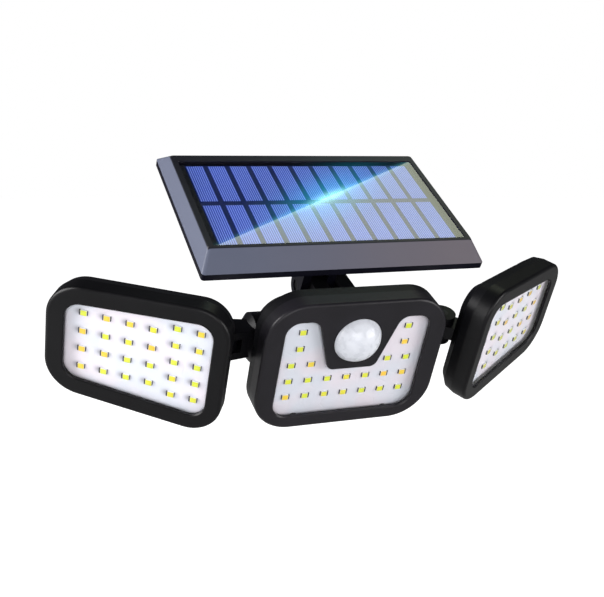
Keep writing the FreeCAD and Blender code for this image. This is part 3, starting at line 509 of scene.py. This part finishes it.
milky, place = new_finish("milky polyethylene", Subsurface_Weight=0.35, Subsurface_Scale=0.004,
                          Subsurface_Radius=(1.0, 1.0, 1.0), Specular_IOR_Level=0.5)
haze = place.noise(0.004, 3.0)
feed(milky, {
    "Base Color": haze.between(0.3, 0.7).mix(*milk_tones),
    "Roughness": 0.22 + 0.12 * haze,
    "Normal": place.patches(facets_per_metre, feature="F1").bump(facet_depth),
})
dress(milky, "sensor_dome")


# Front frames and windows: each head's frame is black ABS, smoother than the backs, with a rounded
# edge. A pane of clear polycarbonate lies behind its opening and shines where it mirrors the light.

def outer_reflection(place, index):
    """How much of the light a clear sheet's outer face reflects; its inner face adds none."""
    inner_face = place.node("ShaderNodeNewGeometry", {}, {}, "Backfacing")
    return place.node("ShaderNodeFresnel", {}, {"IOR": index}) * (1 - inner_face)


polycarbonate_index = 1.58

# One black ABS for all frames, painted lighter and more violet on the centre frame and darker on the
# side frames: painted light and shade.
lit_center_frame = moulded_plastic("black ABS, satin", (0.0090, 0.0082, 0.0110), 0.36, 0.26,
                               grain=0.0002, depth=0.00001)
shaded_side_frame = moulded_plastic("black ABS, dark satin", (0.0025, 0.0025, 0.0032), 0.36, 0.2,
                             grain=0.0002, depth=0.00001)
dress(lit_center_frame, "center_bezel")
dress(shaded_side_frame, "left_bezel", "right_bezel")

clear, place = new_finish("clear polycarbonate", Base_Color=(1, 1, 1, 1), Metallic=1.0)
feed(clear, {
    "Alpha": outer_reflection(place, polycarbonate_index),
    "Roughness": 0.03 + 0.05 * place.noise(0.012),
})
dress(clear, "center_window", "left_window", "right_window")


# Swivel joints and side shells, in black ABS: each arm has a coned flange against the centre head.
# A washer and screw hold it from inside, and a bolt and nut pin the side head in its fork.

for hand in ("left_", "right_"):
    dress(black_shell, hand + "knuckle", hand + "rear_shell")
    dress(zinc, hand + "swivel_retainer", hand + "screws")
    dress(black_zinc, hand + "hinge_bolt", hand + "hinge_nut")


# Solar panel: a sloping grey ABS frame on a black back cover with two ears. Blue cells with printed
# silver fingers lie on a dark board, under a clear laminate.

panel_tilt = lamp_tilt + math.radians(6.9)
panel_origin = lamp_to_world(np.array([0.0, 0.0618, 0.0532]))


def panel_coordinates(place):
    """Coordinates across and along the panel: the world's, moved back and turned back."""
    panel = place.vector("SUBTRACT", panel_origin).turned(about_x=-panel_tilt)
    return panel.axis(0), panel.axis(1)


def panel_to_world(points):
    """The panel's coordinates in the world's: turned about X by both tilts and then moved."""
    return turned_points(points, panel_tilt, 1, 2) + panel_origin


rim_half_width, rim_half_length = 0.0680, 0.0386
rim_middle = 0.0040
rim_black = (0.006, 0.006, 0.012, 1)
left_painted_tint_grey, right_painted_tint_grey = (0.100, 0.112, 0.160, 1), (0.125, 0.112, 0.130, 1)

grey_frame, place = new_finish("grey ABS with a black rim", Specular_IOR_Level=0.35)
across, along = panel_coordinates(place)
beyond_side = abs(across) - rim_half_width
beyond_end = abs(along - rim_middle) - rim_half_length
slope = beyond_side.greater(beyond_end).between(0.00015, 0.00045)
frame_flow = place.noise(0.03, 3.0)
frame_grain = place.noise(0.0002)
# Painted light: the skirt is bluer towards the left and warmer towards the right.
grey = (across + 0.02 * (frame_flow - 0.5)).between(-0.07, 0.07).mix(left_painted_tint_grey, right_painted_tint_grey)
feed(grey_frame, {
    "Base Color": slope.mix(rim_black, grey),
    "Roughness": 0.36 + 0.12 * (frame_flow - 0.5) + 0.08 * (frame_grain - 0.5),
    "Normal": frame_grain.bump(0.00001),
})
dress(grey_frame, "panel_frame")

black_cover = moulded_plastic("black cover", (0.0035, 0.0035, 0.008), 0.42, 0.22)
dress(black_cover, "panel_cover")
dress(zinc, "panel_screws")
dress(black_zinc, "panel_hinge_bolt", "panel_hinge_nut")

cell_columns = 11
cell_width, cell_pitch = 0.0088, 0.01142
cell_rows = ((-0.03234, 0.00079), (0.00441, 0.03513))
cell_top = -0.0018
cell_thickness = 0.0002
fingers = 8
cell_blues = ((0.014, 0.050, 0.42, 1), (0.024, 0.066, 0.54, 1))
finger_silver = (0.24, 0.36, 0.98, 1)

# The fraction of a pitch, less the gap at both of its ends, is the place across a cell. It is cut
# into a strip for each finger, and the finger is the part near the strip's middle.
cells, place = new_finish("blue silicon cells", Specular_IOR_Level=0.5)
across, along = panel_coordinates(place)
cell = across / cell_pitch + cell_columns / 2
half_gap = (1 - cell_width / cell_pitch) / 2
inside = (cell.fraction() - half_gap) * (cell_pitch / cell_width)
from_strip_middle = abs((inside * fingers).fraction() - 0.5)
line = 1 - from_strip_middle.between(0.10, 0.30)
shine = place.noise(0.03)
feed(cells, {
    "Base Color": line.mix(shine.between(0.3, 0.7).mix(*cell_blues), finger_silver),
    "Roughness": 0.34 + 0.1 * shine,
    "Normal": line.bump(0.00002),
})

# A cell is a unit block times its sizes, plus its middle.
square = np.array([(-1, -1, 0), (1, -1, 0), (1, 1, 0), (-1, 1, 0)]) / 2
block = np.concatenate([square + (0, 0, -0.5), square + (0, 0, 0.5)])
block_faces = [[3, 2, 1, 0], [4, 5, 6, 7], [0, 1, 5, 4], [1, 2, 6, 5], [2, 3, 7, 6], [3, 0, 4, 7]]
cell_places = [((column - (cell_columns - 1) / 2) * cell_pitch, (start + end) / 2, end - start)
               for start, end in cell_rows for column in range(cell_columns)]
points = np.concatenate([
    block * (cell_width, length, cell_thickness)
    + (middle_across, middle_along, cell_top - cell_thickness / 2)
    for middle_across, middle_along, length in cell_places])
faces = copied_faces(block_faces, len(block), len(cell_places))
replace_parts(closed_piece("solar_cells", panel_to_world(points), faces, "panel", cells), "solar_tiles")

border_back, border_side = 0.0356, 0.0619
border_blur = 0.0004
backing_navies = ((0.0025, 0.011, 0.085, 1), (0.005, 0.017, 0.125, 1))
border_black = (0.004, 0.005, 0.014, 1)

backing, place = new_finish("dark cell backing", Specular_IOR_Level=0.4)
across, along = panel_coordinates(place)
at_side = abs(across).between(border_side, border_side + border_blur)
at_back = along.between(border_back, border_back + border_blur)
backing_grain = place.noise(0.0009)
feed(backing, {
    "Base Color": at_side.greater(at_back).mix(backing_grain.mix(*backing_navies), border_black),
    "Roughness": 0.35 + 0.15 * backing_grain,
    "Normal": backing_grain.bump(0.00001),
})
dress(backing, "solar_board")

laminate_index = 2.2

laminate, place = new_finish("clear laminate", Base_Color=(1, 1, 1, 1), Metallic=1.0)
feed(laminate, {
    "Alpha": outer_reflection(place, laminate_index),
    "Roughness": 0.004 + 0.012 * place.noise(0.007),
})
dress(laminate, "solar_glass")


# Studio: a white floor below the light, which hangs at its wall height. A card over the panel
# mirrors in its laminate, wide soft lights stand in front and at the sides, and the camera is at
# the photograph's place.

def flat_sheet(name, corners, material):
    """A sheet of one face through its corners."""
    mesh = bpy.data.meshes.new(name)
    mesh.from_pydata([tuple(corner) for corner in corners], [], [list(range(len(corners)))])
    mesh.materials.append(material)
    sheet = bpy.data.objects.new(name, mesh)
    bpy.context.scene.collection.objects.link(sheet)
    return sheet


black, white = (0, 0, 0, 1), (1, 1, 1, 1)
floor_height = cad_box[0][2] - 0.16
floor_radius = 8.0
floor_corners = 96

white_floor, place = new_finish("white studio floor", Base_Color=(0.6, 0.6, 0.6, 1), Roughness=0.9,
                                Emission_Strength=1.0)
camera_ray = place.node("ShaderNodeLightPath", {}, {}, "Is Camera Ray")
feed(white_floor, {"Emission Color": camera_ray.mix(black, white)})

turn = np.linspace(0, 2 * math.pi, floor_corners, endpoint=False)
floor_rim = np.column_stack([floor_radius * np.cos(turn), floor_radius * np.sin(turn),
                             np.full(floor_corners, floor_height)])
floor = flat_sheet("floor", floor_rim.tolist(), white_floor)

card_start = np.array([0.201, 0.223, 0.9])
card_along = np.array([0.932, 0.363, 0.0])
card_inward = np.array([0.363, -0.932, 0.0])
card_span = (-0.10, 0.50)
card_reach = (-0.14, 0.26)
card_edge_blur = 0.0008
card_glow = (1.45, 1.55, 1.20)

flare_place = 0.198
halo_width, halo_height, halo_glow = 0.075, 0.030, (0.0, 1.15, 1.7)
core_width, core_height, core_glow = 0.030, 0.007, (1.5, 3.1, 2.7)
streak_width, streak_height, streak_glow = 0.16, 0.004, (0.2, 1.0, 1.15)

card_light, place = new_finish("glowing card", Base_Color=black, Specular_IOR_Level=0.0,
                               Emission_Strength=1.0)
on_card = place.vector("SUBTRACT", card_start)
span = on_card.vector("DOT_PRODUCT", card_along, "Value")
reach = on_card.vector("DOT_PRODUCT", card_inward, "Value")
lit = reach.between(-card_edge_blur, card_edge_blur)


def spread(width, height):
    """A soft spot of light: e to the minus square of the distance over its width and height."""
    first, second = (span - flare_place) / width, reach / height
    return (first * first + second * second).fading()


def coloured(shade, colour):
    """The colour where the shade is 1, and less of it where that is less."""
    return place.node("ShaderNodeVectorMath", {"operation": "SCALE"}, {0: colour, "Scale": shade})


def joined(first, second):
    """The sum of two colours."""
    return place.node("ShaderNodeVectorMath", {"operation": "ADD"}, {0: first, 1: second})


flare = joined(coloured(spread(halo_width, halo_height), halo_glow),
               coloured(spread(core_width, core_height), core_glow))
streak = coloured(spread(streak_width, streak_height), streak_glow)
feed(card_light, {
    "Emission Color": joined(coloured(lit, card_glow), joined(flare, streak)),
    "Alpha": 1 - place.node("ShaderNodeLightPath", {}, {}, "Is Camera Ray"),
})

card_corners = [card_start + card_span[end] * card_along + card_reach[side] * card_inward
                for end, side in ((0, 0), (0, 1), (1, 1), (1, 0))]
card = flat_sheet("panel_card", card_corners, card_light)

light_target = Vector((0.0, -0.08, 0.03))


def soft_light(name, middle, width, height, radiance, colour):
    """A rectangular light that faces the lamp. Its power is pi times its radiance and its area."""
    data = bpy.data.lights.new(name, "AREA")
    data.shape = "RECTANGLE"
    data.size = width
    data.size_y = height
    data.energy = radiance * math.pi * width * height
    data.color = colour
    light = bpy.data.objects.new(name, data)
    light.location = middle
    light.rotation_euler = (light_target - Vector(middle)).to_track_quat("-Z", "Y").to_euler()
    bpy.context.scene.collection.objects.link(light)


soft_light("front light", middle=(-0.55, -2.0, 0.15), width=1.6, height=1.0, radiance=4.8,
           colour=(1.0, 0.985, 0.985))
soft_light("right light", middle=(1.1, -1.0, 0.15), width=1.0, height=0.6, radiance=7.5,
           colour=(1.0, 0.985, 0.98))
soft_light("left light", middle=(-1.3, 0.0, 0.5), width=1.0, height=1.0, radiance=11.0,
           colour=(1.0, 0.99, 0.99))

camera_place = Vector((-0.18967, -0.49545, 0.11547))
camera_azimuth = math.radians(-22.05)
camera_elevation = math.radians(8.02)

camera_data = bpy.data.cameras.new("camera")
camera_data.lens = 57.3
camera_data.sensor_width = 36.0
camera = bpy.data.objects.new("camera", camera_data)
camera.location = camera_place
look = Vector((-math.sin(camera_azimuth) * math.cos(camera_elevation),
               math.cos(camera_azimuth) * math.cos(camera_elevation), -math.sin(camera_elevation)))
camera.rotation_euler = look.to_track_quat("-Z", "Y").to_euler()
bpy.context.scene.collection.objects.link(camera)
bpy.context.scene.camera = camera

# The camera sees the world white, and everything else sees it as a dim grey.
dim_surround = (0.06, 0.062, 0.068, 1)
world = bpy.data.worlds.new("studio")
world.use_nodes = True
surround = Shade(world.node_tree)
camera_ray = surround.node("ShaderNodeLightPath", {}, {}, "Is Camera Ray")
world.node_tree.links.new(camera_ray.mix(dim_surround, white).socket,
                          world.node_tree.nodes["Background"].inputs["Color"])
bpy.context.scene.world = world
bpy.context.scene.view_settings.view_transform = "Standard"
